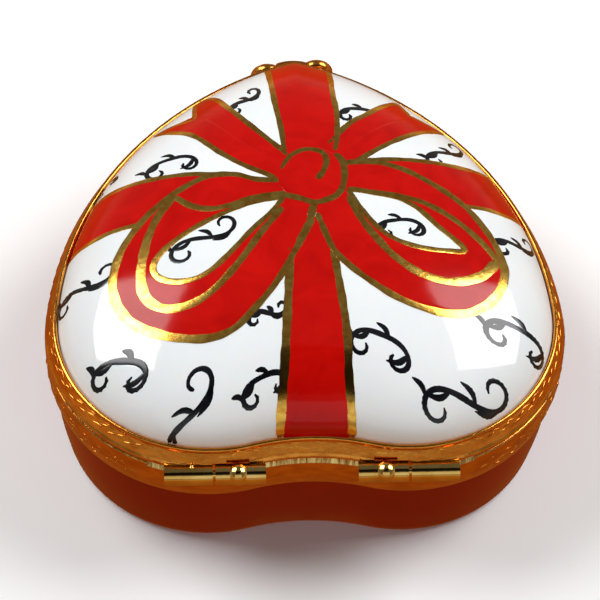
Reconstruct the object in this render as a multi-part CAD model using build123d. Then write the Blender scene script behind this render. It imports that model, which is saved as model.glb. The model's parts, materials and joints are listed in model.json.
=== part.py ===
"""Heart-shaped porcelain trinket box with hinged gilt brass mounts.

Millimetres, +Z up. The box rests on z = 0. The hinge is at +Y, at the heart's notch, and the clasp is at
-Y, at the heart's tip. X = 0 is the plane of symmetry. The origin is under the middle of the closed box.

A cross-section is drawn as (out, z): out is the distance outside the heart line that the outer faces of
both rims follow, so a negative value lies inside it.
"""
import math
import os

from build123d import *

# The heart line, on the outer faces of the rims
WIDTH = 60.0
DEPTH = 58.2  # from the backs of the lobes to the tip
LOBE_RADIUS = 18.8
NOTCH_RADIUS = 24.5
SIDE_RADIUS = 42.7
TIP_RADIUS = 3.9

# Heights
JOINT_Z = 16.9  # where the two rims meet
RIM_GAP = 0.12  # between the closed rims
BASE_RIM_HEIGHT = 5.1
LID_RIM_HEIGHT = 2.9  # above the joint
DOME_RISE = 10.25  # of the lid above its spring
DOME_SINK = 1.3  # of the dome's spring below the top of the rim

# Porcelain base
BASE_WALL = 2.2
BASE_FLOOR = 2.6
BASE_INSET = 0.75  # outer face of the wall, inside the heart line
BASE_TAPER = 2.0  # how much the foot is drawn in
FOOT_WIDTH = 2.4
FOOT_HEIGHT = 0.6
CAVITY_TAPER = 1.2  # how much the bowl narrows down to its rounded bottom
CAVITY_ROUND = 3.0
MOUTH_CHAMFER = 1.0  # on the outer edge of the bowl's mouth

# Porcelain lid
LID_WALL = 2.0
LID_INSET = 1.5
DOME_CENTRE_Y = -1.0  # of the dome's top, from the middle of the heart line
NOTCH_SOFTENING = 2.2  # how fast the notch fades towards the top
INNER_TIP_RADIUS = 2.4  # inside both shells, where the wall is thicker
INNER_TIP_RETREAT = 0.6  # how far a blunter tip draws back, for each millimetre of extra radius

# Rims
FLANGE_THICKNESS = 0.6
FLANGE_LIP = 0.35  # how far each flange reaches past the porcelain's inner face
BASE_EDGE = 0.35  # thickness of the base rim's lower edge
BEAD_RADIUS = 0.35
TOP_BEAD_RADIUS = 0.3
GROOVE_DEPTH = 0.15
BEAD_DROP = 1.5  # of the base rim's bead below the joint, in bead radii
SWELL_MIDDLE = 0.45  # of the base rim's height, where its band stands out furthest
FILED_LEG = 0.7  # flat filed along the top of the base rim behind the hinge
FILED_MARGIN = 1.9  # how far it runs past the outer knuckles

# Hinge: on each lobe an outer knuckle on the lid and an inner one on the base
KNUCKLE_RADIUS = 1.2
HINGE_OUT = 0.3  # axis outside the heart line, at the backs of the lobes
INNER_KNUCKLE_LENGTH = 5.65
OUTER_KNUCKLE_LENGTH = 5.45
KNUCKLE_GAP = 0.3
KNUCKLE_MEETING_INSET = 0.2  # where the knuckles meet, from the lobe's back towards the middle
PIN_RADIUS = 0.5
PIN_SINK = 0.1  # pin's end inside the outer knuckle's end
RUNNING_CLEARANCE = 0.05
RECESS_CLEARANCE = 0.15
STUD_OFFSET = 0.28  # outwards from the middle of its knuckle
STUD_RADIUS = 1.3
STUD_HEIGHT = 0.4  # above the knuckle
STUD_ELEVATION = 62.0

# Clasp
TONGUE_GAP = 0.45  # from the heart line to the tongue
TONGUE_THICKNESS = 0.5
TONGUE_ARC = 50.0  # degrees round the tip
TONGUE_ABOVE = 1.3  # above the joint
TONGUE_BELOW = 3.9  # below the joint
TONGUE_ROOT = 0.9  # how far its root reaches over the lid rim
CATCH_RADIUS = 0.3
CATCH_ARC = 26.0
CATCH_BELOW = 2.2
BOW_BELOW = 2.6  # below the joint
BOW_SINK = 0.15  # how far its loops' backs are flattened where they meet the tongue
BED_ARC = 120.0  # degrees of the tongue's line that the bow's back is trimmed to
BOW_TILT = 6.0  # degrees, its left loop the higher
LOOP_X = 3.0
LOOP_RADIUS = 1.3
LOOP_SECTION = 0.75  # radius of a loop's section
KNOT_RADIUS = 1.25
TAIL_X = 1.3  # where a tail ends, under the knot
TAIL_DROP = 2.9
TAIL_RADIUS = 0.55

DOME_LEVELS = (0, 10, 20, 30, 40, 50, 60, 69, 77, 84)  # degrees up a quarter ellipse
CAVITY_LEVELS = (90, 70, 50, 30, 12)

HALF_DEPTH = DEPTH / 2
LOBE_BACK_X = WIDTH / 2 - LOBE_RADIUS
KNUCKLE_MEETING_X = LOBE_BACK_X - KNUCKLE_MEETING_INSET
STUD_X = KNUCKLE_MEETING_X - (KNUCKLE_GAP + INNER_KNUCKLE_LENGTH) / 2 + STUD_OFFSET
FILED_HALF_WIDTH = KNUCKLE_MEETING_X + KNUCKLE_GAP / 2 + OUTER_KNUCKLE_LENGTH + FILED_MARGIN
LID_SEAT_Z = JOINT_Z + RIM_GAP + FLANGE_THICKNESS  # bottom of the porcelain lid
BASE_SEAT_Z = JOINT_Z - FLANGE_THICKNESS  # top of the porcelain base
LID_RIM_TOP = JOINT_Z + LID_RIM_HEIGHT
DOME_SPRING_Z = LID_RIM_TOP - DOME_SINK
BOW_OUT = TONGUE_GAP + TONGUE_THICKNESS + LOOP_SECTION - BOW_SINK  # from the heart line to its middle
FRONT = HALF_DEPTH + BOW_OUT + KNOT_RADIUS
BACK = HALF_DEPTH + HINGE_OUT + KNUCKLE_RADIUS
MIDDLE_Y = (FRONT - BACK) / 2  # of the heart line, so that the origin is under the middle of the box
HINGE_Y = MIDDLE_Y + HALF_DEPTH + HINGE_OUT


def heading(start, end):
    """Direction from one point to another, in degrees from +X."""
    return math.degrees(math.atan2(end.Y - start.Y, end.X - start.X))


class Heart:
    """A heart of tangent arcs. Its lobes point to +Y and its tip to -Y."""

    def __init__(self, width, back, front, lobe, notch, side, tip):
        self.lobe_radius, self.notch_radius, self.side_radius, self.tip_radius = lobe, notch, side, tip
        self.lobe = Vector(width / 2 - lobe, back - lobe)
        self.tip = Vector(0, front + tip)
        self.notch = Vector(0, self.lobe.Y + math.sqrt((lobe + notch) ** 2 - self.lobe.X**2))
        self.side = self.side_centre()

    def side_centre(self):
        """Centre of the side arc, which holds both the lobe circle and the tip circle."""
        to_lobe = self.side_radius - self.lobe_radius
        to_tip = self.side_radius - self.tip_radius
        span = self.tip - self.lobe
        along = (to_lobe**2 - to_tip**2 + span.length**2) / (2 * span.length)
        across = math.sqrt(to_lobe**2 - along**2)
        way = span.normalized()
        return self.lobe + way * along + Vector(way.Y, -way.X) * across

    def arcs(self):
        """(centre, radius, start, end, outward) of each arc, where outward is -1 on the notch. Degrees."""
        lobe_to_side = heading(self.side, self.lobe)
        notch_to_lobe = heading(self.notch, self.lobe)
        tip_to_side = heading(self.side, self.tip)
        right = [
            (self.tip, self.tip_radius, -90, tip_to_side, 1),
            (self.side, self.side_radius, tip_to_side, lobe_to_side, 1),
            (self.lobe, self.lobe_radius, lobe_to_side, notch_to_lobe + 180, 1),
            (self.notch, self.notch_radius, -90, notch_to_lobe, -1),
        ]
        left = [(Vector(-c.X, c.Y), r, 180 - b, 180 - a, s) for c, r, a, b, s in right]
        return right + left

    def face(self, z):
        """The filled heart at height z."""
        edges = []
        for centre, radius, start, end, outward in self.arcs():
            plane = Plane(origin=(centre.X, centre.Y, z))
            edges.append(Edge.make_circle(radius, plane, start_angle=start, end_angle=end))
        return Face(Wire(edges))

    def plate(self, bottom, top):
        """A flat heart between two heights."""
        return extrude(self.face(bottom), top - bottom)

    def ring(self, section, lobes_only=False):
        """A solid with one cross-section all the way round, or only round the lobes and the notch."""
        pieces = []
        for centre, radius, start, end, outward in self.arcs():
            if lobes_only and radius in (self.side_radius, self.tip_radius):
                continue
            pieces.append(self.turned(section, centre, radius, start, end, outward))
        return pieces[0].fuse(*pieces[1:]).clean()

    def turned(self, section, centre, radius, start, end, outward=1):
        """The cross-section revolved round one arc's centre, between two directions in degrees."""
        turn = math.radians(start)
        way = Vector(math.cos(turn), math.sin(turn))
        plane = Plane(origin=(centre.X, centre.Y, 0), x_dir=way, z_dir=way.cross(Vector(0, 0, 1)))
        drawn = section if outward > 0 else mirror(section, Plane.YZ)
        axis = Axis((centre.X, centre.Y, 0), (0, 0, 1))
        return revolve(plane * (Pos(radius, 0) * drawn), axis, revolution_arc=end - start)

    def tip_piece(self, section, arc):
        """The cross-section revolved round the tip, over an arc in degrees centred on the tip."""
        return self.turned(section, self.tip, self.tip_radius, -90 - arc / 2, -90 + arc / 2)


def heart(out=0.0, scale=1.0, tip=None):
    """The heart line moved outwards by out, then shrunk towards the dome's top, where the notch fades.

    A tip radius that is given replaces the moved one, and the tip draws back to suit.
    """
    moved_tip = TIP_RADIUS + out
    tip = moved_tip if tip is None else tip
    reach = HALF_DEPTH + out - INNER_TIP_RETREAT * (tip - moved_tip)
    soft = 1 + NOTCH_SOFTENING * (1 - scale)
    return Heart(
        width=scale * (WIDTH + 2 * out),
        back=MIDDLE_Y + DOME_CENTRE_Y + scale * (HALF_DEPTH + out - DOME_CENTRE_Y),
        front=MIDDLE_Y + DOME_CENTRE_Y - scale * (reach + DOME_CENTRE_Y),
        lobe=scale * (LOBE_RADIUS + out),
        notch=scale * (NOTCH_RADIUS - out) * soft,
        side=scale * (SIDE_RADIUS + out),
        tip=scale * tip,
    )


def outline(*pieces):
    """The face inside a closed run of points and curves, with straight lines between them."""
    edges = []
    first = last = None
    for piece in pieces:
        curved = not isinstance(piece, tuple)
        start = piece @ 0 if curved else Vector(*piece)
        if last is not None and (start - last).length > 1e-6:
            edges.append(Edge.make_line(last, start))
        if curved:
            edges.append(piece)
        first = start if first is None else first
        last = piece @ 1 if curved else start
    edges.append(Edge.make_line(last, first))
    return make_face(edges)


def bead(out, z, radius, start, end):
    """A bead's section, from one direction to another in degrees from outwards."""
    return CenterArc((out, z), radius, start, end - start)


def base_shell():
    """Porcelain bowl: bulging sides on a drawn-in foot, with a chamfered mouth inside the rim."""
    rim_edge = JOINT_Z - BASE_RIM_HEIGHT
    side = Spline(
        [
            (-BASE_INSET - BASE_TAPER * (1 - math.sqrt(t)), rim_edge * t)
            for t in (0, 0.04, 0.16, 0.36, 0.64, 1)
        ]
    )
    wall_foot = -BASE_INSET - BASE_TAPER
    core = heart(wall_foot)
    section = outline(
        side,
        (-BASE_INSET, BASE_SEAT_Z - MOUTH_CHAMFER),
        (-BASE_INSET - MOUTH_CHAMFER, BASE_SEAT_Z),
        (wall_foot, BASE_SEAT_Z),
    )
    body = heart().ring(section) + core.plate(0, BASE_SEAT_Z)
    foot = heart(wall_foot - FOOT_WIDTH, tip=INNER_TIP_RADIUS).plate(0, FOOT_HEIGHT)
    return body - base_cavity() - foot


def base_cavity():
    """Inside of the bowl: a narrowing wall that rounds into a flat floor."""
    wall = -BASE_INSET - BASE_WALL
    levels = []
    for angle in CAVITY_LEVELS:
        turn = math.radians(angle)
        out = wall - CAVITY_TAPER - CAVITY_ROUND * (1 - math.sin(turn))
        z = BASE_FLOOR + CAVITY_ROUND * (1 - math.cos(turn))
        levels.append(heart(out, tip=INNER_TIP_RADIUS).face(z))
    narrowing = loft([heart(wall, tip=INNER_TIP_RADIUS).face(BASE_SEAT_Z), levels[0]], ruled=True)
    return narrowing + loft(levels)


def dome(out, rise, tip=None):
    """A heart with straight sides up from the lid's seat, domed above the spring."""
    levels = []
    for angle in DOME_LEVELS:
        turn = math.radians(angle)
        level = heart(out, math.cos(turn), tip)
        levels.append(level.face(DOME_SPRING_Z + rise * math.sin(turn)))
    return heart(out, tip=tip).plate(LID_SEAT_Z, DOME_SPRING_Z) + loft(levels)


def lid_shell():
    """Porcelain lid: a hollow dome."""
    outside = dome(-LID_INSET, DOME_RISE)
    inside = dome(-LID_INSET - LID_WALL, DOME_RISE - LID_WALL, INNER_TIP_RADIUS)
    return outside - inside


def mouth(wall_face, bottom, top):
    """The opening through a flange that reaches a little past the porcelain's inner face."""
    return heart(wall_face - FLANGE_LIP, tip=INNER_TIP_RADIUS).plate(bottom, top)


def base_rim():
    """Lower rim: a swelling band with a bead along its top, and a flange over the porcelain's edge."""
    bottom = JOINT_Z - BASE_RIM_HEIGHT
    bead_z = JOINT_Z - BEAD_DROP * BEAD_RADIUS
    swell = ThreePointArc(
        (-BASE_INSET + BASE_EDGE, bottom),
        (-GROOVE_DEPTH / 2, bottom + BASE_RIM_HEIGHT * SWELL_MIDDLE),
        (-GROOVE_DEPTH * 1.6, bead_z - 1.1 * BEAD_RADIUS),
    )
    section = outline(
        (-BASE_INSET, bottom),
        swell,
        bead(-BEAD_RADIUS, bead_z, BEAD_RADIUS, -70, 80),
        (-1.2 * BEAD_RADIUS, JOINT_Z),
        (-BASE_INSET - MOUTH_CHAMFER, JOINT_Z),
        (-BASE_INSET - MOUTH_CHAMFER, BASE_SEAT_Z),
        (-BASE_INSET, BASE_SEAT_Z - MOUTH_CHAMFER),
    )
    flange = heart(-BASE_INSET - MOUTH_CHAMFER).plate(BASE_SEAT_Z, JOINT_Z)
    rim = heart().ring(section) + flange - mouth(-BASE_INSET - BASE_WALL, BASE_SEAT_Z, JOINT_Z)
    filed = outline((FILED_LEG, JOINT_Z), (-FILED_LEG, JOINT_Z), (FILED_LEG, JOINT_Z - 2 * FILED_LEG))
    land = heart().ring(filed, lobes_only=True)
    land &= Pos(0, HALF_DEPTH, JOINT_Z) * Box(2 * FILED_HALF_WIDTH, DEPTH, 4 * FILED_LEG)
    rim -= land
    for side in (-1, 1):
        rim -= knuckle_blank(side, inner=True)
        rim -= knuckle_blank(side, inner=False, clearance=RECESS_CLEARANCE)
    return rim


def lid_rim():
    """Upper rim: a lower bead, a sloping face and a bead against the porcelain, over a flange."""
    bottom = JOINT_Z + RIM_GAP
    top_bead_z = LID_RIM_TOP - TOP_BEAD_RADIUS
    top_bead_out = -LID_INSET + TOP_BEAD_RADIUS
    section = outline(
        (-LID_INSET, bottom),
        bead(-BEAD_RADIUS, bottom + BEAD_RADIUS, BEAD_RADIUS, -90, 50),
        (-BEAD_RADIUS + GROOVE_DEPTH / 2, bottom + 2.3 * BEAD_RADIUS),
        (top_bead_out + GROOVE_DEPTH, top_bead_z - TOP_BEAD_RADIUS - GROOVE_DEPTH),
        bead(top_bead_out, top_bead_z, TOP_BEAD_RADIUS, -60, 180),
    )
    flange = heart(-LID_INSET).plate(bottom, LID_SEAT_Z)
    rim = heart().ring(section) + flange - mouth(-LID_INSET - LID_WALL, bottom, LID_SEAT_Z)
    for side in (-1, 1):
        rim -= knuckle_blank(side, inner=False)
        rim -= knuckle_blank(side, inner=True, clearance=RECESS_CLEARANCE)
        rim -= rod(side, STUD_X - STUD_RADIUS, STUD_X + STUD_RADIUS, stud_reach() + RECESS_CLEARANCE)
    return rim


def rod(side, near, far, radius):
    """A cylinder on the hinge axis, between two distances from the middle, on one side."""
    middle = side * (near + far) / 2
    return Pos(middle, HINGE_Y, JOINT_Z) * Rot(0, 90, 0) * Cylinder(radius, far - near)


def knuckle_ends(inner):
    """Distances of a knuckle's two ends from the middle of the box."""
    if inner:
        far = KNUCKLE_MEETING_X - KNUCKLE_GAP / 2
        return far - INNER_KNUCKLE_LENGTH, far
    near = KNUCKLE_MEETING_X + KNUCKLE_GAP / 2
    return near, near + OUTER_KNUCKLE_LENGTH


def knuckle_blank(side, inner, clearance=0.0):
    """A knuckle's solid outside. With a clearance it is the recess cut for it in the opposite rim, which
    runs up to the next knuckle's end."""
    near, far = knuckle_ends(inner)
    if clearance and inner:
        near, far = near - clearance, far + KNUCKLE_GAP
    elif clearance:
        near, far = near - KNUCKLE_GAP, far + clearance
    return rod(side, near, far, KNUCKLE_RADIUS + clearance)


def knuckle(side, inner):
    """A tube. The pin is tight in the inner knuckles and turns in the outer ones."""
    bore = PIN_RADIUS if inner else PIN_RADIUS + RUNNING_CLEARANCE
    near, far = knuckle_ends(inner)
    return knuckle_blank(side, inner) - rod(side, near, far, bore)


def hinge_pin(side):
    """One pin through the two knuckles of a lobe."""
    near = knuckle_ends(inner=True)[0]
    far = knuckle_ends(inner=False)[1]
    return rod(side, near, far - PIN_SINK, PIN_RADIUS)


def stud_reach():
    return KNUCKLE_RADIUS + STUD_HEIGHT


def hinge_stud(side):
    """A ball-like stud round an inner knuckle, which stands out most on the outside and above."""
    turn = math.radians(STUD_ELEVATION)
    sunk = stud_reach() - STUD_RADIUS
    centre = (side * STUD_X, HINGE_Y + sunk * math.cos(turn), JOINT_Z + sunk * math.sin(turn))
    return Pos(*centre) * Sphere(STUD_RADIUS) - knuckle_blank(side, inner=True) - base_rim()


def clasp_tongue():
    """A curved tongue that hangs from the lid rim over the tip of the base rim."""
    inner = TONGUE_GAP
    outer = TONGUE_GAP + TONGUE_THICKNESS
    bottom = JOINT_Z - TONGUE_BELOW
    section = outline(
        (inner, bottom),
        bead((inner + outer) / 2, bottom, TONGUE_THICKNESS / 2, 180, 360),
        (outer, JOINT_Z + TONGUE_ABOVE - TONGUE_THICKNESS),
        (inner, JOINT_Z + TONGUE_ABOVE),
        (outer - TONGUE_THICKNESS - TONGUE_ROOT, JOINT_Z + TONGUE_ABOVE),
        (outer - TONGUE_THICKNESS - TONGUE_ROOT, JOINT_Z + RIM_GAP + BEAD_RADIUS),
        (inner, JOINT_Z + RIM_GAP + BEAD_RADIUS),
    )
    return heart().tip_piece(section, TONGUE_ARC) - lid_rim()


def catch_bead():
    """A short ridge on the tip of the base rim, which the tongue springs over."""
    section = Pos(-GROOVE_DEPTH / 2, JOINT_Z - CATCH_BELOW) * Circle(CATCH_RADIUS)
    return heart().tip_piece(section, CATCH_ARC) - base_rim() - base_shell()


def clasp_bow():
    """A cast bow with two round loops, a knot and two tails, soldered to the tongue."""
    loops = [
        Pos(side * LOOP_X, 0) * Rot(90, 0, 0) * Torus(LOOP_RADIUS, LOOP_SECTION) for side in (-1, 1)
    ]
    tails = []
    for side in (-1, 1):
        end = Vector(side * TAIL_X, 0, -TAIL_DROP)
        plane = Plane(origin=(0, 0, 0), z_dir=end)
        tails.append(plane * Pos(0, 0, end.length / 2) * Cylinder(TAIL_RADIUS, end.length))
        tails.append(Pos(*end) * Sphere(TAIL_RADIUS))
    bow = Sphere(KNOT_RADIUS).fuse(*loops, *tails)
    place = Pos(0, MIDDLE_Y - HALF_DEPTH - BOW_OUT, JOINT_Z - BOW_BELOW)
    tongue_face = TONGUE_GAP + TONGUE_THICKNESS
    bed = outline((0, 0), (tongue_face, 0), (tongue_face, LID_RIM_TOP), (0, LID_RIM_TOP))
    return place * Rot(0, BOW_TILT, 0) * bow - heart().tip_piece(bed, BED_ARC)


def nodes():
    """Every part of the box by name."""
    parts = {
        "base_shell": base_shell(),
        "base_rim": base_rim(),
        "catch_bead": catch_bead(),
        "lid_shell": lid_shell(),
        "lid_rim": lid_rim(),
        "clasp_tongue": clasp_tongue(),
        "clasp_bow": clasp_bow(),
    }
    for name, side in (("left", 1), ("right", -1)):
        parts[f"{name}_base_knuckle"] = knuckle(side, inner=True)
        parts[f"{name}_lid_knuckle"] = knuckle(side, inner=False)
        parts[f"{name}_hinge_pin"] = hinge_pin(side)
        parts[f"{name}_hinge_stud"] = hinge_stud(side)
    return parts


os.makedirs("parts", exist_ok=True)
for node, shape in nodes().items():
    export_step(shape, f"parts/{node}.step")
    print(f"{node}: {len(shape.solids())} solid, {shape.volume:.2f} mm3")
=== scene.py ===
"""Porcelain trinket box: materials, painted decoration, chased mounts and studio, round the CAD frame.

Work is in millimetres and scaled by MM on the way into Blender. Everything painted on the lid is laid out
on a chart of the dome: (u, v) is the direction of a point from CHART_CENTRE, with the angle from straight up
turned into millimetres, so that the chart has the dome's own scale. u runs to +X and v to +Y.
"""
import json
import math
import random

import bmesh
import bpy
from mathutils import Matrix, Vector
from mathutils.bvhtree import BVHTree


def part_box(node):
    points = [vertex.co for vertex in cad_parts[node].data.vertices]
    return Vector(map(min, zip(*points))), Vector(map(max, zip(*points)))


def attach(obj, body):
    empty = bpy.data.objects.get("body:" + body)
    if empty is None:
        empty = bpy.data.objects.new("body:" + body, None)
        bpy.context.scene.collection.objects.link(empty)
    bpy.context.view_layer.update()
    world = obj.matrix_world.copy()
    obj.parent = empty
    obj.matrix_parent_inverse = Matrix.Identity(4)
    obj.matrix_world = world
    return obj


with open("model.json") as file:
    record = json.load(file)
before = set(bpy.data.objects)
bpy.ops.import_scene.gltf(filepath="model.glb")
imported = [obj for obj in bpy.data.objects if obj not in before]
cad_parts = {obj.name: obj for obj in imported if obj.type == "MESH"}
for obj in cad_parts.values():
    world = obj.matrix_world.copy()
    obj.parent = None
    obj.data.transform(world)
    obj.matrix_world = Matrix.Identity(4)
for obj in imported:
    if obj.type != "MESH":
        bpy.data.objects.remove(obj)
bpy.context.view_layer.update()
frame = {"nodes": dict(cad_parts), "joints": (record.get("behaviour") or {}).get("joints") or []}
MM = 0.001


# ---------------------------------------------------------------- materials


def new_material(name, **values):
    """A principled material whose plain values sit on the shader's own sockets."""
    material = bpy.data.materials.new(name)
    material.use_nodes = True
    shader = material.node_tree.nodes["Principled BSDF"]
    for socket, value in values.items():
        shader.inputs[socket.replace("_", " ")].default_value = value
    return material, material.node_tree, shader


def add(tree, kind, **settings):
    node = tree.nodes.new(kind)
    for name, value in settings.items():
        setattr(node, name, value)
    return node


def noise(tree, scale, detail=3.0, stretch=(1, 1, 1), distortion=0.0):
    """Noise over the object's own coordinates. The scale is in cycles per metre."""
    place = add(tree, "ShaderNodeTexCoord")
    mapping = add(tree, "ShaderNodeMapping")
    mapping.inputs["Scale"].default_value = stretch
    texture = add(tree, "ShaderNodeTexNoise")
    texture.inputs["Scale"].default_value = scale
    texture.inputs["Detail"].default_value = detail
    texture.inputs["Distortion"].default_value = distortion
    tree.links.new(place.outputs["Object"], mapping.inputs["Vector"])
    tree.links.new(mapping.outputs["Vector"], texture.inputs["Vector"])
    return texture.outputs["Fac"]


def ramp(tree, factor, *stops):
    """Colours against a factor, each stop as (position, colour)."""
    node = add(tree, "ShaderNodeValToRGB")
    elements = node.color_ramp.elements
    for index, (position, colour) in enumerate(stops):
        element = elements[index] if index < 2 else elements.new(position)
        element.position = position
        element.color = (*colour, 1)
    tree.links.new(factor, node.inputs["Fac"])
    return node.outputs["Color"]


def bump(tree, shader, height, distance, strength=1.0, below=None):
    node = add(tree, "ShaderNodeBump")
    node.inputs["Strength"].default_value = strength
    node.inputs["Distance"].default_value = distance
    tree.links.new(height, node.inputs["Height"])
    if below is not None:
        tree.links.new(below, node.inputs["Normal"])
    tree.links.new(node.outputs["Normal"], shader.inputs["Normal"])
    return node.outputs["Normal"]


def porcelain():
    """White hard-paste porcelain under a clear glaze that pools and ripples very slightly."""
    material, tree, shader = new_material(
        "white_porcelain",
        Roughness=0.06,
        IOR=1.5,
        Subsurface_Weight=0.12,
        Subsurface_Scale=0.0012,
    )
    colour = ramp(
        tree, noise(tree, 90, 2), (0.3, (0.80, 0.835, 0.86)), (0.7, (0.845, 0.87, 0.885))
    )
    tree.links.new(colour, shader.inputs["Base Color"])
    bump(tree, shader, noise(tree, 160, 1), 0.00002, 0.5)
    return material


def red_glaze():
    """Deep red glaze, a little lighter where it runs thin, with a slow ripple."""
    material, tree, shader = new_material(
        "red_glaze", Roughness=0.24, IOR=1.45, Specular_IOR_Level=0.22
    )
    colour = ramp(
        tree,
        noise(tree, 70, 4, distortion=0.6),
        (0.25, (0.29, 0.005, 0.002)),
        (0.75, (0.37, 0.008, 0.003)),
    )
    tree.links.new(colour, shader.inputs["Base Color"])
    bump(tree, shader, noise(tree, 220, 2), 0.00002, 0.6)
    return material


def biscuit():
    """Unglazed porcelain on the foot ring."""
    material, tree, shader = new_material("biscuit", Roughness=0.75, IOR=1.45)
    colour = ramp(
        tree, noise(tree, 900, 5), (0.3, (0.66, 0.62, 0.56)), (0.7, (0.78, 0.75, 0.7))
    )
    tree.links.new(colour, shader.inputs["Base Color"])
    bump(tree, shader, noise(tree, 4000, 3), 0.00003, 0.7)
    return material


def painted_red():
    """Red enamel, brushed on: the colour varies along the strokes."""
    material, tree, shader = new_material(
        "painted_red", Roughness=0.10, IOR=1.5, Specular_IOR_Level=0.28
    )
    colour = ramp(
        tree,
        noise(tree, 230, 4, distortion=1.2),
        (0.3, (0.42, 0.002, 0.001)),
        (0.7, (0.53, 0.004, 0.002)),
    )
    tree.links.new(colour, shader.inputs["Base Color"])
    bump(tree, shader, noise(tree, 700, 2), 0.00001, 0.5)
    return material


def painted_black():
    material, tree, shader = new_material("painted_black", Roughness=0.16, IOR=1.5)
    colour = ramp(tree, noise(tree, 500, 3), (0.3, (0.002, 0.002, 0.003)), (0.8, (0.012, 0.012, 0.016)))
    tree.links.new(colour, shader.inputs["Base Color"])
    return material


def burnished_gold():
    """Fired gold: nearly a mirror, with the faint drag of the brush in it."""
    material, tree, shader = new_material("burnished_gold", Metallic=1.0, Roughness=0.17)
    colour = ramp(
        tree,
        noise(tree, 620, 4, distortion=1.4),
        (0.3, (0.74, 0.32, 0.035)),
        (0.65, (1.0, 0.64, 0.13)),
    )
    tree.links.new(colour, shader.inputs["Base Color"])
    bump(tree, shader, noise(tree, 1500, 3), 0.00003, 0.5)
    return material


def brass(name, dark, light, roughness, grain, depth, stretch=(1, 1, 1), wear=350):
    """Gilt brass, with wear in its colour and a fine grain in its surface.

    A stretch under 1 along an axis draws both out into streaks along it.
    """
    material, tree, shader = new_material(name, Metallic=1.0, Roughness=roughness)
    colour = ramp(tree, noise(tree, wear, 5, stretch, 0.5), (0.35, dark), (0.65, light))
    tree.links.new(colour, shader.inputs["Base Color"])
    bump(tree, shader, noise(tree, grain, 3, stretch), depth, 0.7)
    return material


PORCELAIN = porcelain()
RED_GLAZE = red_glaze()
BISCUIT = biscuit()
PAINTED_RED = painted_red()
PAINTED_BLACK = painted_black()
GOLD = burnished_gold()
GILT = brass(
    "gilt_brass", (0.70, 0.25, 0.035), (0.92, 0.39, 0.065), 0.2, 900, 0.00008, stretch=(1, 1, 2.2)
)
TUBE = brass("hinge_brass", (0.74, 0.44, 0.10), (0.90, 0.62, 0.20), 0.13, 1400, 0.00002)
FILED = brass(
    "filed_brass", (0.34, 0.13, 0.02), (1.0, 0.76, 0.28), 0.28, 2600, 0.00012,
    stretch=(1, 0.03, 0.03), wear=2400,
)

NODE_MATERIALS = {
    "base_rim": GILT,
    "lid_rim": GILT,
    "catch_bead": GILT,
    "clasp_tongue": GILT,
    "clasp_bow": GILT,
    "lid_shell": PORCELAIN,
    "base_shell": RED_GLAZE,
}
for name, node in frame["nodes"].items():
    node.data.materials.clear()
    node.data.materials.append(NODE_MATERIALS.get(name, TUBE))


LEVEL = 0.9  # a face whose normal is this upright, or more, is level
BOWL_MIDDLE_Y = 0.002  # metres
FOOT_TOP = 0.0003  # metres; level faces below this are the foot ring's
LAND_HEIGHT = 0.9  # of the filed flat, in millimetres from the top of the rim
LAND_SLOPE = (0.6, 0.8)  # the upright part of its normal lies between these


def base_zones(node):
    """White glaze inside the bowl and under it, and bare biscuit where the foot ring stands."""
    node.data.materials.append(PORCELAIN)
    node.data.materials.append(BISCUIT)
    for face in node.data.polygons:
        normal, centre = face.normal, face.center
        facing_in = normal.x * centre.x + normal.y * (centre.y - BOWL_MIDDLE_Y) < 0
        if normal.z < -LEVEL and centre.z < FOOT_TOP:
            face.material_index = 2
        elif abs(normal.z) > LEVEL or facing_in:
            face.material_index = 1


base_zones(frame["nodes"]["base_shell"])


def filed_land(node):
    """Fresh brass on the flat that is filed behind the hinge."""
    node.data.materials.append(FILED)
    top = max(vertex.co.z for vertex in node.data.vertices)
    for face in node.data.polygons:
        slopes_back = face.normal.y > 0.3 and LAND_SLOPE[0] < face.normal.z < LAND_SLOPE[1]
        if slopes_back and face.center.z > top - LAND_HEIGHT * MM:
            face.material_index = 1


filed_land(frame["nodes"]["base_rim"])

# ---------------------------------------------------------------- the dome's chart

CHART_CENTRE = Vector((0.0, 2.0, 8.0))
CHART_RADIUS = 21.0
RAY_START = 60.0  # rays on to the surfaces start this far out
DRAW_BACK = 0.998
SEAM_NUDGE = 0.0037  # keeps rays off the shell's seam in its plane of symmetry
CURVE_STEPS = 12  # between two points of a curve
HALVINGS = 12  # to find the dome's foot between two places


def surface_tree(node):
    """The CAD node's surface in millimetres, for finding points on it."""
    mesh = node.data
    points = [vertex.co / MM for vertex in mesh.vertices]
    return BVHTree.FromPolygons(points, [tuple(face.vertices) for face in mesh.polygons])


DOME = surface_tree(frame["nodes"]["lid_shell"])
DOME_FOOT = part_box("lid_rim")[1][2] / MM - 0.3


def way_on_chart(u, v):
    angle = math.hypot(u, v) / CHART_RADIUS
    turn = math.atan2(v, u)
    flat = math.sin(angle)
    return Vector((flat * math.cos(turn), flat * math.sin(turn), math.cos(angle)))


def dome_hit(u, v):
    """Place and outward normal on the glaze, or None past the foot, which the rim hides."""
    way = way_on_chart(u + SEAM_NUDGE, v)
    place, normal, _, _ = DOME.ray_cast(CHART_CENTRE + way * RAY_START, -way)
    if place is None or place.z < DOME_FOOT:
        return None
    return place, normal if normal.dot(way) > 0 else -normal


def on_dome(u, v, lift=0.0):
    """The point of the dome at a place on the chart, raised off the glaze. Millimetres.

    A place past the foot is drawn back up to it.
    """
    hit = dome_hit(u, v)
    while hit is None:
        u, v = u * DRAW_BACK, v * DRAW_BACK
        hit = dome_hit(u, v)
    place, normal = hit
    return place + normal * lift


def catmull(a, b, c, d, t):
    return 0.5 * (2 * b + (c - a) * t + (2 * a - 5 * b + 4 * c - d) * t**2 + (3 * b - a - 3 * c + d) * t**3)


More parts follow.
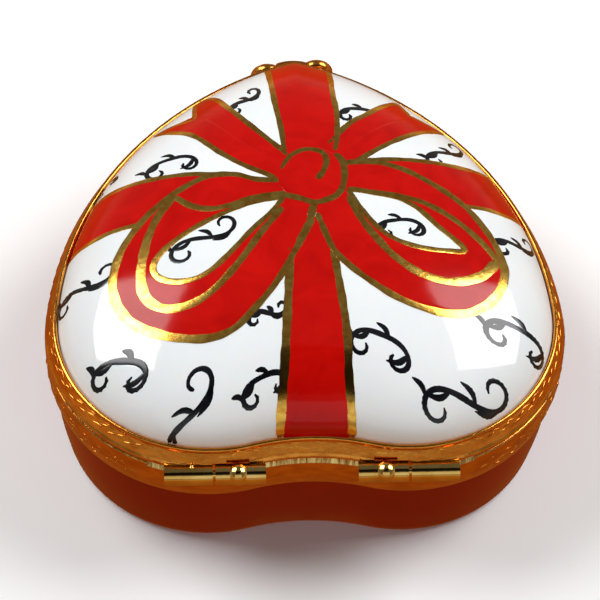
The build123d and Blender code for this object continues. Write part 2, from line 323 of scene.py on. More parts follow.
def evenly(points, count):
    """Evenly spaced places along a run of points, which are tuples of any length."""
    travelled = [0.0]
    for here, there in zip(points, points[1:]):
        travelled.append(travelled[-1] + math.dist(here[:2], there[:2]))
    run = []
    index = 0
    for step in range(count):
        goal = travelled[-1] * step / (count - 1)
        while index < len(points) - 2 and travelled[index + 1] < goal:
            index += 1
        length = travelled[index + 1] - travelled[index]
        part = (goal - travelled[index]) / length if length > 0 else 0
        run.append(tuple(a + (b - a) * part for a, b in zip(points[index], points[index + 1])))
    return run


def smooth_run(points, count, closed=False):
    """Evenly spaced places on a Catmull-Rom curve through the points."""
    size = len(points)
    fine = []
    for span in range(size if closed else size - 1):
        corners = []
        for offset in (-1, 0, 1, 2):
            index = span + offset
            corners.append(points[index % size] if closed else points[min(max(index, 0), size - 1)])
        for step in range(CURVE_STEPS):
            fine.append(tuple(catmull(*values, step / CURVE_STEPS) for values in zip(*corners)))
    fine.append(points[0] if closed else points[-1])
    return evenly(fine, count)


def crossing(outside, inside):
    """The place at the dome's foot between a place past it and a place on the dome."""
    for _ in range(HALVINGS):
        middle = tuple((a + b) / 2 for a, b in zip(outside, inside))
        if dome_hit(*middle[:2]):
            inside = middle
        else:
            outside = middle
    return inside


def trimmed(run):
    """A run cut off at the dome's foot, with as many places as before."""
    on = [dome_hit(*place[:2]) is not None for place in run]
    if all(on) or not any(on):
        return run
    first = on.index(True)
    last = len(on) - 1 - on[::-1].index(True)
    kept = run[first : last + 1]
    if first > 0:
        kept.insert(0, crossing(run[first - 1], run[first]))
    if last < len(run) - 1:
        kept.append(crossing(run[last + 1], run[last]))
    return evenly(kept, len(run))


def sweep_piece(name, parts, material, body="lid"):
    """One piece of closed solids, each given as rows of points in millimetres round its section."""
    mesh = bmesh.new()
    for rows in parts:
        made = [[mesh.verts.new(point * MM) for point in row] for row in rows]
        count = len(made[0])
        for near, far in zip(made, made[1:]):
            for step in range(count):
                after = (step + 1) % count
                mesh.faces.new((near[step], near[after], far[after], far[step]))
        mesh.faces.new(list(reversed(made[0])))
        mesh.faces.new(made[-1])
    bmesh.ops.recalc_face_normals(mesh, faces=mesh.faces)
    return finish_piece(name, mesh, material, body)


def finish_piece(name, mesh, material, body="lid"):
    data = bpy.data.meshes.new(name)
    mesh.to_mesh(data)
    mesh.free()
    data.shade_smooth()
    data.set_sharp_from_angle(angle=math.radians(SHARP_EDGE))
    data.materials.append(material)
    piece = bpy.data.objects.new(name, data)
    bpy.context.scene.collection.objects.link(piece)
    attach(piece, body)
    return piece


SHARP_EDGE = 50.0  # degrees between two faces, past which their edge isn't smoothed
SUNK = -0.05  # painted layers start this far under the glaze
EDGE = 0.04  # a layer's edge slopes in by this much
STROKE_SECTION = ((-1, 0), (-0.7, 0.75), (-0.3, 1), (0.3, 1), (0.7, 0.75), (1, 0))
LINE = 0.012  # how much a stroke crowns above what it is drawn on
STROKE_STEP = 0.35
EDGE_SHARE = 0.25  # a field's height at its very edge, of its lift


def enamel(name, left, right, lift, count=60, across=8):
    """A field of red enamel between two edge curves on the chart, cut off at the dome's foot."""
    left_run = smooth_run(left, count)
    right_run = smooth_run(right, count)
    width = sum(math.dist(a, b) for a, b in zip(left_run, right_run)) / count
    bevel = min(EDGE / width, 0.3 / across)
    parts = [0, bevel] + [index / across for index in range(1, across)] + [1 - bevel, 1]
    columns = []
    for part in parts:
        column = [
            (a[0] + (b[0] - a[0]) * part, a[1] + (b[1] - a[1]) * part)
            for a, b in zip(left_run, right_run)
        ]
        height = lift * EDGE_SHARE if part in (0, 1) else lift
        columns.append([on_dome(*place, height) for place in trimmed(column)])
        if part in (0, 1):
            columns.append([on_dome(*place, SUNK) for place in trimmed(column)])
    # the two sunk columns lie next to each other round the section
    near_top, near_sunk = columns[0], columns[1]
    ordered = [near_top] + columns[2:-2] + [columns[-2], columns[-1], near_sunk]
    rows = [list(row) for row in zip(*ordered)]
    return sweep_piece(name, [rows], PAINTED_RED)


def stroke_rows(path, width, lift, seed, taper=(0.5, 0.5)):
    """Rows of a brush stroke along a path on the chart: points are (u, v) or (u, v, width factor)."""
    points = [point if len(point) == 3 else (*point, 1.0) for point in path]
    rough = sum(math.dist(a[:2], b[:2]) for a, b in zip(points, points[1:]))
    count = max(8, int(rough / STROKE_STEP))
    run = trimmed(smooth_run(points, count))
    phase = random.Random(seed).uniform(0, 6)
    rows = []
    for index, (u, v, factor) in enumerate(run):
        before = run[max(index - 1, 0)]
        after = run[min(index + 1, count - 1)]
        along = Vector((after[0] - before[0], after[1] - before[1])).normalized()
        travel = index * STROKE_STEP
        left_over = (count - 1 - index) * STROKE_STEP
        ends = min(1.0, taper[0] + travel / width, taper[1] + left_over / width)
        sway = 1 + 0.07 * math.sin(travel * 1.3 + phase) + 0.05 * math.sin(travel * 3.1 + 2 * phase)
        half = 0.5 * width * factor * sway * ends
        across = Vector((-along.y, along.x)) * half
        section = [
            on_dome(u + across.x * part, v + across.y * part, lift - LINE * (1 - height))
            for part, height in STROKE_SECTION
        ]
        section.append(on_dome(u + across.x, v + across.y, SUNK))
        section.append(on_dome(u - across.x, v - across.y, SUNK))
        rows.append(section)
    return rows


def stroke(name, path, width, lift):
    """A stroke of burnished gold."""
    return sweep_piece(name, [stroke_rows(path, width, lift, name)], GOLD)


# ---------------------------------------------------------------- painted ribbon and bow
# Each ribbon is a field of red between two edges, and gold lines are drawn over its edges. Higher lifts
# lie over lower ones.

LAYER = 0.004  # between two fields that overlap
OVERLAP = 0.2  # of a tail's two halves, each way from its middle
TAIL_LIFT = 0.02
BAND_LIFT = 0.03
LOOP_LIFT = 0.045
KNOT_LIFT = 0.072
RIBBON_COLUMNS = 22  # enough for the tight curve over the heart's tip

CENTRE = [
    (3.4, -2.9), (3.0, -7.5), (1.8, -10.4), (-1.0, -11.0), (-3.8, -10.6), (-5.9, -8.2), (-6.0, -4.8),
    (-5.1, -2.5), (-3.0, 1.0), (-2.6, 5.6), (-0.6, 7.6), (1.4, 6.4), (1.2, 2.6), (1.9, 0.0),
]
BACK_RIBBON_LEFT = [(1.5, 5.0), (2.1, 14.0), (2.5, 19.0), (3.4, 27.0)]
BACK_RIBBON_RIGHT = [(-2.8, 5.0), (-3.7, 14.0), (-3.7, 19.0), (-4.4, 27.0)]
FRONT_RIBBON_LEFT = [(3.1, -26.5), (2.7, -19.0), (2.5, -15.5), (2.1, -11.5), (2.0, -8.5)]
FRONT_RIBBON_RIGHT = [(-3.3, -26.5), (-3.6, -18.0), (-4.0, -14.5), (-4.0, -11.0), (-3.7, -8.8)]
LEFT_TAIL_FRONT = [(10.9, -19.9), (9.0, -18.9), (7.3, -15.8), (4.9, -12.2), (1.5, -8.0)]
LEFT_TAIL_BACK = [(15.7, -15.2), (13.5, -13.9), (11.5, -12.5), (9.0, -9.3), (6.4, -6.9), (2.6, -4.6)]
LEFT_TAIL_FORK = (11.1, -15.4)
RIGHT_TAIL_FRONT = [(-10.8, -18.4), (-8.8, -16.3), (-7.1, -14.5), (-5.5, -13.1), (-3.0, -9.8)]
RIGHT_TAIL_BACK = [(-15.9, -14.9), (-13.1, -13.1), (-11.0, -11.5), (-8.7, -9.6), (-5.0, -6.4)]
RIGHT_TAIL_FORK = (-12.0, -16.0)
LEFT_BAND_FRONT = [(28.0, -6.0), (21.8, -6.6), (18.1, -6.7), (14.6, -6.6), (12.0, -6.4), (7.5, -5.6)]
LEFT_BAND_BACK = [(28.0, 1.0), (22.0, 0.0), (19.5, -0.4), (17.2, -0.4), (14.5, -2.0), (10.5, -3.5)]
RIGHT_BAND_FRONT = [(-27.5, -11.6), (-21.5, -9.4), (-17.4, -8.4), (-14.0, -8.2), (-10.7, -8.0), (-6.0, -7.4)]
RIGHT_BAND_BACK = [(-28.0, -4.0), (-21.6, -2.8), (-19.1, -2.6), (-16.6, -2.2), (-13.6, -4.6), (-7.0, -5.2)]

LEFT_LOOP_OUT = [
    (0.4, -4.6), (5.0, -4.7), (7.6, -5.7), (10.3, -5.8), (13.0, -4.5), (15.5, -2.4), (17.3, 0.0),
    (18.5, 2.7), (18.8, 5.5), (18.4, 7.8), (17.5, 9.7), (15.9, 11.5), (13.3, 13.1), (10.2, 14.0),
    (7.8, 13.6), (5.9, 12.0), (4.0, 9.9), (2.5, 7.6), (0.9, 4.6), (-0.9, 1.2),
]
LEFT_LOOP_IN = [
    (2.4, -2.0), (5.7, -1.5), (8.6, -0.4), (11.2, 0.9), (13.4, 2.4), (14.9, 3.9), (15.5, 5.3),
    (15.1, 6.6), (13.9, 7.5), (12.2, 7.8), (10.5, 7.2), (8.6, 5.4), (6.0, 2.3), (3.6, -0.3), (2.4, -2.0),
]
LEFT_FOLD_EDGE = [
    (13.9, -3.4), (15.3, -1.2), (16.2, 1.6), (16.5, 4.4), (16.4, 6.8), (15.8, 8.7), (14.6, 10.0),
    (13.1, 10.5), (11.3, 10.2), (9.5, 8.9), (7.2, 6.1), (4.8, 2.4), (2.6, -0.5),
]
LEFT_FOLD_LIP = [(13.9, -3.4), (12.4, -1.8), (10.6, -1.0), (8.4, -1.2), (5.8, -2.1), (3.0, -2.5), (0.4, -2.1)]
RIGHT_LOOP_OUT = [
    (-4.6, -7.0), (-8.1, -7.3), (-10.9, -6.6), (-13.4, -5.2), (-15.4, -3.7), (-17.1, -2.0), (-18.4, 0.3),
    (-19.2, 2.6), (-19.4, 4.9), (-18.7, 7.2), (-17.4, 9.2), (-15.5, 10.7), (-13.4, 11.3), (-11.1, 11.1),
    (-8.8, 10.3), (-6.5, 8.8), (-4.6, 7.2), (-3.1, 5.4), (-2.2, 3.0), (-1.4, 0.4),
]
RIGHT_LOOP_IN = [
    (-5.0, -3.1), (-7.6, -2.7), (-10.3, -2.2), (-12.4, -0.9), (-14.1, 1.2), (-16.2, 3.7), (-14.4, 4.3),
    (-12.0, 4.3), (-9.8, 3.6), (-8.0, 2.1), (-6.4, -0.4), (-5.0, -3.1),
]
RIGHT_FOLD_LIP = [
    (-5.0, -3.2), (-7.7, -2.8), (-10.4, -2.5), (-12.8, -1.9), (-14.9, -0.7), (-16.7, 0.9), (-18.2, 2.8),
    (-18.9, 4.3),
]
RIGHT_FOLD_EDGE = [
    (-18.9, 4.3), (-17.4, 6.3), (-15.6, 7.5), (-13.8, 7.9), (-11.6, 7.4), (-9.4, 5.7), (-7.7, 3.4),
    (-6.4, 1.2), (-5.1, -2.2),
]
KNOT = [
    (2.2, -6.8), (1.2, -8.3), (-0.5, -9.0), (-2.3, -9.0), (-3.8, -8.0), (-4.6, -6.7), (-4.7, -5.0),
    (-4.4, -3.4), (-3.5, -2.1), (-2.1, -1.3), (-0.6, -1.4), (0.9, -1.9), (2.4, -2.9), (3.0, -4.9),
]
KNOT_LINE = [
    (-3.7, -8.3), (-4.5, -7.2), (-4.7, -5.4), (-4.5, -3.6), (-3.7, -2.2), (-2.3, -1.4), (-1.0, -1.2),
    (0.5, -1.8), (2.0, -2.2), (3.9, -2.5),
]
SWIRL = [
    (2.5, -6.1, 0.6), (1.9, -7.2, 0.8), (1.0, -8.2, 0.8), (-0.4, -8.8, 1.0), (-1.7, -8.7, 1.0),
    (-2.5, -8.1, 1.1), (-2.7, -7.1, 1.1), (-2.4, -5.9, 1.1), (-1.8, -4.9, 1.4), (-1.6, -4.5, 1.0),
]
LOOP_MEETING = [(-1.1, -1.2), (-0.7, 0.6), (-0.1, 2.4), (1.0, 4.7)]


FAN_PARTS = (0.2, 0.4, 0.6, 0.8, 0.97)  # rings of a field, from its middle outwards


def fan(name, outline, lift):
    """A field of red enamel inside a closed outline, from its middle outwards."""
    run = smooth_run(outline, 49, closed=True)[:-1]
    middle = (sum(p[0] for p in run) / len(run), sum(p[1] for p in run) / len(run))
    mesh = bmesh.new()
    centre = mesh.verts.new(on_dome(*middle, lift) * MM)
    rings = []
    levels = [(part, lift) for part in FAN_PARTS] + [(1, lift * EDGE_SHARE), (1, SUNK)]
    for part, height in levels:
        ring = []
        for u, v in run:
            place = (middle[0] + (u - middle[0]) * part, middle[1] + (v - middle[1]) * part)
            ring.append(mesh.verts.new(on_dome(*place, height) * MM))
        rings.append(ring)
    size = len(run)
    for index in range(size):
        mesh.faces.new((centre, rings[0][index], rings[0][(index + 1) % size]))
    for near, far in zip(rings, rings[1:]):
        for index in range(size):
            after = (index + 1) % size
            mesh.faces.new((near[index], far[index], far[after], near[after]))
    mesh.faces.new(rings[-1])
    bmesh.ops.recalc_face_normals(mesh, faces=mesh.faces)
    return finish_piece(name, mesh, PAINTED_RED)


def forked_tail(name, front, back, fork):
    """A ribbon tail whose end is cut to a swallowtail."""
    front_cut = [front[0], fork]
    middle = [fork] + middle_line(front, back)[1:]
    enamel(f"{name}_front", front, [(u, v + OVERLAP) for u, v in middle], TAIL_LIFT)
    enamel(f"{name}_back", [(u, v - OVERLAP) for u, v in middle], back, TAIL_LIFT + LAYER)
    stroke(f"{name}_front_line", front, 0.62, TAIL_LIFT + LINE)
    stroke(f"{name}_back_line", back, 0.68, TAIL_LIFT + LINE)
    stroke(f"{name}_cut_front", front_cut, 0.5, TAIL_LIFT + LINE)
    stroke(f"{name}_cut_back", [back[0], fork], 0.5, TAIL_LIFT + LINE)


def middle_line(left, right, count=6):
    left_run = smooth_run(left, count)
    right_run = smooth_run(right, count)
    return [((a[0] + b[0]) / 2, (a[1] + b[1]) / 2) for a, b in zip(left_run, right_run)]


fan("centre", CENTRE, BAND_LIFT + LAYER)
forked_tail("left_tail", LEFT_TAIL_FRONT, LEFT_TAIL_BACK, LEFT_TAIL_FORK)
forked_tail("right_tail", RIGHT_TAIL_FRONT, RIGHT_TAIL_BACK, RIGHT_TAIL_FORK)
for name, left, right in (
    ("back_ribbon", BACK_RIBBON_LEFT, BACK_RIBBON_RIGHT),
    ("front_ribbon", FRONT_RIBBON_LEFT, FRONT_RIBBON_RIGHT),
    ("left_band", LEFT_BAND_FRONT, LEFT_BAND_BACK),
    ("right_band", RIGHT_BAND_FRONT, RIGHT_BAND_BACK),
):
    enamel(name, left, right, BAND_LIFT, across=RIBBON_COLUMNS)
stroke("back_ribbon_left_line", [(u + 0.35, v) for u, v in BACK_RIBBON_LEFT], 0.95, BAND_LIFT + LINE)
stroke("back_ribbon_right_line", [(u - 0.2, v) for u, v in BACK_RIBBON_RIGHT], 0.85, BAND_LIFT + LINE)
stroke("front_ribbon_left_line", FRONT_RIBBON_LEFT, 0.6, BAND_LIFT + LINE)
stroke("front_ribbon_right_line", FRONT_RIBBON_RIGHT, 0.6, BAND_LIFT + LINE)
stroke("left_band_front_line", LEFT_BAND_FRONT, 0.6, BAND_LIFT + LINE)
stroke("left_band_back_line", LEFT_BAND_BACK[:4], 0.55, BAND_LIFT + LINE)
stroke("right_band_front_line", RIGHT_BAND_FRONT, 0.6, BAND_LIFT + LINE)
stroke("right_band_back_line", RIGHT_BAND_BACK[:4], 0.55, BAND_LIFT + LINE)

for side, outside, inside in (
    ("left", LEFT_LOOP_OUT, LEFT_LOOP_IN),
    ("right", RIGHT_LOOP_OUT, RIGHT_LOOP_IN),
):
    enamel(f"{side}_loop", outside, inside, LOOP_LIFT, count=90, across=10)
    stroke(f"{side}_loop_outer_line", outside, 0.72, LOOP_LIFT + LINE)
    stroke(f"{side}_loop_inner_line", inside, 0.6, LOOP_LIFT + LINE)
stroke("left_fold_edge", LEFT_FOLD_EDGE, 0.8, LOOP_LIFT + LINE)
stroke("left_fold_lip", LEFT_FOLD_LIP, 0.75, LOOP_LIFT + LINE)
stroke("right_fold_edge", RIGHT_FOLD_EDGE, 0.85, LOOP_LIFT + LINE)
stroke("right_fold_lip", RIGHT_FOLD_LIP, 0.7, LOOP_LIFT + LINE)
fan("knot", KNOT, KNOT_LIFT)
stroke("knot_line", KNOT_LINE, 0.75, KNOT_LIFT + LINE)
stroke("knot_swirl", SWIRL, 0.62, KNOT_LIFT + LINE)
stroke("loop_meeting", LOOP_MEETING, 0.9, LOOP_LIFT + LINE)

# ---------------------------------------------------------------- black flourishes
# A scroll's curvature grows along both arms, so that each end winds up. Its leaves are short curved strokes.

SCROLL_LIFT = 0.014  # under the enamel, which covers what lies beneath it
SCROLL_WIDTH = 0.42
SCROLL_SIZE = 0.84  # of the lengths given below
SCROLL_STEPS = 28
ARM_TURN = 5.6  # radians that an arm winds through
LEAVES = ((-0.42, 1, 0.34), (-0.1, -1, 0.26), (0.2, 1, 0.3), (0.5, -1, 0.22))  # place, side, length
SCROLLS = (  # u, v, turn in degrees, length, kind
    (11.7, 20.1, 27, 7.6, 1),
    (16.9, 13.9, -20, 5.6, -1),
    (21.4, 5.5, -14, 5.8, 1),
    (4.9, 18.2, 15, 5.2, -1),
    (4.4, 12.5, -22, 4.0, 1),
    (-7.3, 14.4, -15, 6.4, -1),
    (-14.2, 18.2, -16, 7.6, 1),
    (-19.4, 10.8, -10, 6.2, -1),
    (-21.3, 1.2, -8, 5.2, 1),
    (-10.0, 1.0, 14, 5.8, -1),
    (11.0, 2.9, -4, 7.0, 1),
    (14.2, -9.3, 10, 6.0, -1),
    (5.7, -16.8, 9, 4.4, 1),
    (-6.2, -15.4, 6, 4.6, -1),
    (-15.6, -10.4, 14, 5.6, 1),
    (21.6, -9.4, 40, 3.8, -1),
)


def scroll_arm(sense):
    """Half of a scroll, from its middle outwards, in units of its own length."""
    x = y = 0.0
    points = [(0.0, 0.0)]
    for step in range(SCROLL_STEPS):
        part = (step + 0.5) / SCROLL_STEPS
        heading = sense * ARM_TURN * part * part
        x += math.cos(heading) / SCROLL_STEPS
        y += math.sin(heading) / SCROLL_STEPS
        points.append((x, y))
    return points


def flourish(name, u, v, turn, length, kind):
    """A black scroll with leaves. Kind 1 winds its ends to opposite sides, -1 to the same side."""
    near = scroll_arm(1)
    far = [(-x, -y * kind) for x, y in near]
    body = list(reversed(far)) + near[1:]
    reach = max(x for x, _ in body) * 2
    scale = SCROLL_SIZE * length / reach
    angle = math.radians(turn)

    def placed(x, y):
        x, y = x * scale, y * scale
        return u + x * math.cos(angle) - y * math.sin(angle), v + x * math.sin(angle) + y * math.cos(angle)

    middle = len(body) // 2
    paths = [
        [
            (*placed(x, y), 0.6 + 0.65 * math.cos((index / middle - 1) * 1.3))
            for index, (x, y) in enumerate(body)
        ][::2]
    ]
    for place, side, size in LEAVES:
        x, y = body[int(middle * (1 + place))]
        tip = (x + size * 0.8, y + side * size * 0.55)
        bend = (x + size * 0.3, y + side * size * 0.42)
        paths.append([(*placed(x, y), 0.7), (*placed(*bend), 1.25), (*placed(*tip), 0.5)])
    parts = [
        stroke_rows(path, SCROLL_WIDTH, SCROLL_LIFT, name)
        for path in paths
        if any(dome_hit(*place[:2]) for place in path)
    ]
    return sweep_piece(name, parts, PAINTED_BLACK)


for index, place in enumerate(SCROLLS):
    flourish(f"flourish_{index + 1:02d}", *place)

# ---------------------------------------------------------------- chased rims
# The engraver's cuts leave small raised leaves and lines on both rims.

RIM_TREES = {name: surface_tree(frame["nodes"][name]) for name in ("base_rim", "lid_rim")}
HINGE = Vector(frame["joints"][0]["pos_m"]) / MM
BAND_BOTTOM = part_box("base_rim")[0][2] / MM
BAND_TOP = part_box("base_rim")[1][2] / MM
SLOPE_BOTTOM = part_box("lid_rim")[0][2] / MM
SLOPE_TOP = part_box("lid_rim")[1][2] / MM
LEAF_PITCH = 2.4
LEAF_SECTION = ((-1, -0.04), (-0.55, 0.7), (0, 1), (0.55, 0.7), (1, -0.04))
RIM_STEPS = 1440  # rays round a rim
LEAF_STEPS = 6
LEAF_SINK = 0.1
HINGE_DEPTH = 2.6  # no leaf lies within these of the hinge's axis
HINGE_HALF_WIDTH = 19.0
HINGE_ABOVE = 1.7


def rim_hit(tree, turn, z, out=RAY_START):
    """Place and normal where a level ray towards the middle meets a rim, or None."""
    way = Vector((math.cos(turn), math.sin(turn), 0))
    start = Vector((0, CHART_CENTRE.y, z)) + way * out
    place, normal, _, _ = tree.ray_cast(start, -way)
    if place is None:
        return None
    return place, normal if normal.dot(way) > 0 else -normal


def rim_line(name, z):
    """(turn, distance travelled) round a rim at a height."""
    line = []
    travelled = 0.0
    before = None
    for step in range(RIM_STEPS + 1):
        turn = 2 * math.pi * step / RIM_STEPS
        hit = rim_hit(RIM_TREES[name], turn, z)
        if hit is None:
            continue
        if before is not None:
            travelled += (hit[0] - before).length
        before = hit[0]
        line.append((travelled, turn))
    return line


def near_hinge(place):
    """Whether a place on a rim is where the hinge's knuckles and the filed land are."""
    behind = place.y > HINGE.y - HINGE_DEPTH and abs(place.x) < HINGE_HALF_WIDTH
    return behind and place.z < HINGE.z + HINGE_ABOVE


def rim_leaf(name, line, start, z, length, rise, width, height, curl=0.0):
    """Rows of a raised leaf on a rim, from a distance round it. It rises by rise along its length."""
    tree = RIM_TREES[name]
    rows = []
    for step in range(LEAF_STEPS + 1):
        part = step / LEAF_STEPS
        travel = (start + length * part) % line[-1][0]
        turn = turn_at(line, travel)
        level = z + rise * part + curl * math.sin(math.pi * part)
        half = 0.5 * width * (math.sin(math.pi * (0.06 + 0.88 * part)) ** 0.7)
        section = []
        for side, lift in LEAF_SECTION:
            hit = rim_hit(tree, turn, level + side * half)
            if hit is None or near_hinge(hit[0]):
                return None
            lifted = lift * height * math.sin(math.pi * (0.08 + 0.84 * part)) if lift > 0 else lift
            section.append(hit[0] + hit[1] * lifted)
        sunk = rim_hit(tree, turn, level)
        section.append(sunk[0] - sunk[1] * LEAF_SINK)
        rows.append(section)
    return rows


def turn_at(line, travel):
    """The turn at a distance round a rim line."""
    low, high = 0, len(line) - 1
    while high - low > 1:
        middle = (low + high) // 2
        if line[middle][0] < travel:
            low = middle
        else:
            high = middle
    span = line[high][0] - line[low][0]
    part = (travel - line[low][0]) / span if span > 0 else 0
    return line[low][1] + (line[high][1] - line[low][1]) * part


def chasing(name, body, leaves):
    """All the leaves of one rim as one piece. What each leaf holds is given at the calls below."""
    low, high = (BAND_BOTTOM, BAND_TOP) if name == "base_rim" else (SLOPE_BOTTOM, SLOPE_TOP)
    line = rim_line(name, (low + high) / 2)
    count = round(line[-1][0] / LEAF_PITCH)
    pitch = line[-1][0] / count
    chance = random.Random(name)
    parts = []
    for index in range(count):
        for share, offset, length, rise, width, height, curl in leaves:
            start = (index + offset) * pitch + chance.uniform(-0.15, 0.15)
            z = low + (high - low) * share + chance.uniform(-0.05, 0.05)
            scale = chance.uniform(0.8, 1.15)
            rows = rim_leaf(name, line, start, z, length * scale, rise * scale, width, height, curl)
            if rows:
                parts.append(rows)
    sweep_piece(f"{name}_chasing", parts, GILT, body)


# place up the rim, place along the pitch, length, rise, width, height, curl
chasing(
    "base_rim",
    "base",
    (
        (0.42, 0.0, 1.15, 0.35, 0.24, 0.10, 0.0),
        (0.22, 0.35, 1.9, 0.28, 0.16, 0.05, 0.12),
        (0.60, 0.1, 2.0, -0.3, 0.16, 0.05, 0.14),
        (0.36, 0.7, 1.3, 0.5, 0.14, 0.05, -0.1),
    ),
)
chasing(
    "lid_rim",
    "lid",
    (
        (0.56, 0.0, 1.1, 0.22, 0.20, 0.09, 0.0),
        (0.42, 0.4, 1.7, 0.2, 0.14, 0.05, 0.08),
        (0.70, 0.2, 1.6, -0.2, 0.13, 0.05, 0.08),
    ),
)

# ---------------------------------------------------------------- hinge details

KNUCKLE_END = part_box("left_lid_knuckle")[1][0] / MM
KNUCKLE_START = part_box("left_base_knuckle")[0][0] / MM
LAND_TOP, LAND_BOTTOM = BAND_TOP - 0.06, BAND_TOP - 1.0
LAND_RUNOUT = 1.7  # past the outer knuckles


def file_mark(x, slant, width, height):
    """Rows of one raised ridge between two file cuts, down the filed land."""
    rows = []
    for part in (0, 0.3, 0.7, 1):
        z = LAND_TOP + (LAND_BOTTOM - LAND_TOP) * part
        section = []
        for side, lift in ((-0.5, -0.03), (0, height), (0.5, -0.03), (0, -0.08)):
            at = x + slant * part + side * width
            place, normal, _, _ = RIM_TREES["base_rim"].ray_cast(
                Vector((at, RAY_START, z)), Vector((0, -1, 0))
            )
            if place is None:
                return None
            outward = normal if normal.y > 0 else -normal
            section.append(place + outward * lift)
        rows.append(section)
    return rows


def file_marks():
    """The ridges between the file's cuts, on the land between the knuckles and just outside them."""
    chance = random.Random("file marks")
    parts = []
    for near, far in (
        (-KNUCKLE_START + 0.15, KNUCKLE_START - 0.15),
        (KNUCKLE_END + 0.2, KNUCKLE_END + LAND_RUNOUT),
        (-KNUCKLE_END - LAND_RUNOUT, -KNUCKLE_END - 0.2),
    ):
        x = near
        while x < far:
            width = chance.uniform(0.10, 0.26)
            rows = file_mark(x, chance.uniform(-0.09, 0.09), width, chance.uniform(0.02, 0.06))
            if rows:
                parts.append(rows)
            x += width + chance.uniform(0.0, 0.05)
    return sweep_piece("file_marks", parts, FILED, "base")


file_marks()


def lathe_parts(centre, axis, profile, count=24):
    """Rows of a turned solid: the profile is (distance along the axis, radius)."""
    turn = Vector(axis).to_track_quat("Z", "Y")
    rows = []
    for along, radius in profile:
        row = []
        for step in range(count):
            angle = 2 * math.pi * step / count
            point = Vector((radius * math.cos(angle), radius * math.sin(angle), along))
            row.append(Vector(centre) + turn @ point)
        rows.append(row)
    return rows


RIVET_X, RIVET_RISE = 13.5, 104
rivet_way = Vector((0, math.cos(math.radians(RIVET_RISE)), math.sin(math.radians(RIVET_RISE))))
knuckle_radius = (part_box("left_lid_knuckle")[1][2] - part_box("left_lid_knuckle")[0][2]) / MM / 2
rivet_foot = Vector((RIVET_X, HINGE.y, HINGE.z)) + rivet_way * (knuckle_radius - 0.1)
RIVET_PROFILE = ((0, 0.27), (0.1, 0.27), (0.17, 0.22), (0.19, 0.17), (0.16, 0.12), (0.1, 0.07))
sweep_piece(
    "hinge_rivet", [lathe_parts(rivet_foot, rivet_way, RIVET_PROFILE)], TUBE, "lid"
)

# ---------------------------------------------------------------- studio

AIM = Vector((0.262, 3.95, 14.0)) * MM
AZIMUTH, ELEVATION, ROLL = 175.664, 54.0, 2.63
DISTANCE = 0.42
SKY_STRENGTH = 1.0
SKY = (  # from straight down to straight up
    (0.0, (0.30, 0.11, 0.02)),
    (0.46, (0.42, 0.18, 0.04)),
    (0.51, (0.55, 0.42, 0.26)),
    (0.60, (0.22, 0.20, 0.17)),
    (0.75, (0.13, 0.13, 0.13)),
    (1.0, (0.12, 0.12, 0.12)),
)
CARD_AZIMUTH, CARD_ELEVATION = 178, 68
CARD_DISTANCE = 0.55
CARD_SIZE = (0.5, 0.3, 1)
SOFTBOX_WATTS = 2.75
FILL_WATTS = 0.95


def way_from(azimuth, elevation):
    """Unit vector towards a direction: azimuth 0 is -Y and 90 is +X."""
    turn, rise = math.radians(azimuth), math.radians(elevation)
    return Vector((math.sin(turn) * math.cos(rise), -math.cos(turn) * math.cos(rise), math.sin(rise)))


def place_camera():
    back = way_from(AZIMUTH, ELEVATION)
    right = (-back).cross(Vector((0, 0, 1))).normalized()
    up = right.cross(-back)
    tilt = math.radians(ROLL)
    side = right * math.cos(tilt) + up * math.sin(tilt)
    top = up * math.cos(tilt) - right * math.sin(tilt)
    camera = bpy.data.objects.new("camera", bpy.data.cameras.new("camera"))
    camera.data.sensor_width = 36
    camera.data.lens = 215
    camera.data.clip_start = 0.01
    facing = Matrix((side, top, back)).transposed().to_4x4()
    camera.matrix_world = Matrix.Translation(AIM + back * DISTANCE) @ facing
    bpy.context.scene.collection.objects.link(camera)
    bpy.context.scene.camera = camera


def softbox(name, azimuth, elevation, distance, width, height, watts):
    """A rectangular light that faces the box."""
    light = bpy.data.lights.new(name, "AREA")
    light.shape = "RECTANGLE"
    light.size, light.size_y = width, height
    light.energy = watts
    lamp = bpy.data.objects.new(name, light)
    way = way_from(azimuth, elevation)
    lamp.location = AIM + way * distance
    lamp.rotation_euler = way.to_track_quat("Z", "Y").to_euler()
    bpy.context.scene.collection.objects.link(lamp)
    return lamp


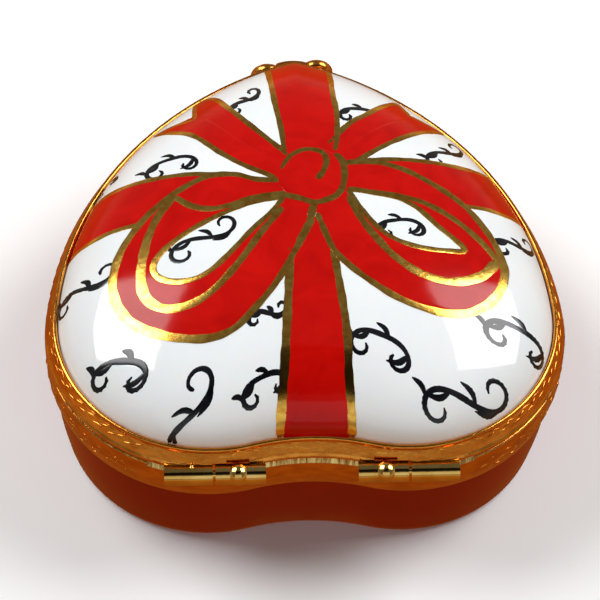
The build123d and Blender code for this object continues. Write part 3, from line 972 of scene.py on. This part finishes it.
def floor():
    mesh = bmesh.new()
    bmesh.ops.create_grid(mesh, x_segments=2, y_segments=2, size=3)
    data = bpy.data.meshes.new("floor")
    mesh.to_mesh(data)
    mesh.free()
    material, _, shader = new_material("floor", Roughness=0.9)
    shader.inputs["Base Color"].default_value = (0.93, 0.93, 0.93, 1)
    data.materials.append(material)
    piece = bpy.data.objects.new("floor", data)
    piece.visible_glossy = False
    piece.visible_diffuse = False
    bpy.context.scene.collection.objects.link(piece)


def card():
    """A black card above and behind the camera, which the gold lines of the back ribbon reflect."""
    mesh = bmesh.new()
    bmesh.ops.create_grid(mesh, x_segments=1, y_segments=1, size=0.5)
    data = bpy.data.meshes.new("black_card")
    mesh.to_mesh(data)
    mesh.free()
    material, _, shader = new_material("black_card", Roughness=1.0, IOR=1.0)
    shader.inputs["Base Color"].default_value = (0.004, 0.004, 0.004, 1)
    data.materials.append(material)
    piece = bpy.data.objects.new("black_card", data)
    way = way_from(CARD_AZIMUTH, CARD_ELEVATION)
    piece.location = AIM + way * CARD_DISTANCE
    piece.rotation_euler = way.to_track_quat("Z", "Y").to_euler()
    piece.scale = CARD_SIZE
    piece.visible_diffuse = False
    bpy.context.scene.collection.objects.link(piece)


def sky():
    world = bpy.data.worlds.new("studio")
    bpy.context.scene.world = world
    world.use_nodes = True
    tree = world.node_tree
    place = add(tree, "ShaderNodeTexCoord")
    split = add(tree, "ShaderNodeSeparateXYZ")
    tree.links.new(place.outputs["Generated"], split.inputs["Vector"])
    height = add(tree, "ShaderNodeMapRange")
    height.inputs["From Min"].default_value = -1
    tree.links.new(split.outputs["Z"], height.inputs["Value"])
    colour = ramp(tree, height.outputs["Result"], *SKY)
    tree.links.new(colour, tree.nodes["Background"].inputs["Color"])
    tree.nodes["Background"].inputs["Strength"].default_value = SKY_STRENGTH


place_camera()
floor()
sky()
card()
softbox("left_softbox", 68, 49, 0.6, 0.34, 0.36, SOFTBOX_WATTS)
softbox("right_softbox", -74, 46, 0.6, 0.34, 0.36, SOFTBOX_WATTS)
softbox("fill", 180, 30, 0.9, 1.2, 0.5, FILL_WATTS)

scene_view = bpy.context.scene.view_settings
scene_view.view_transform = "Standard"
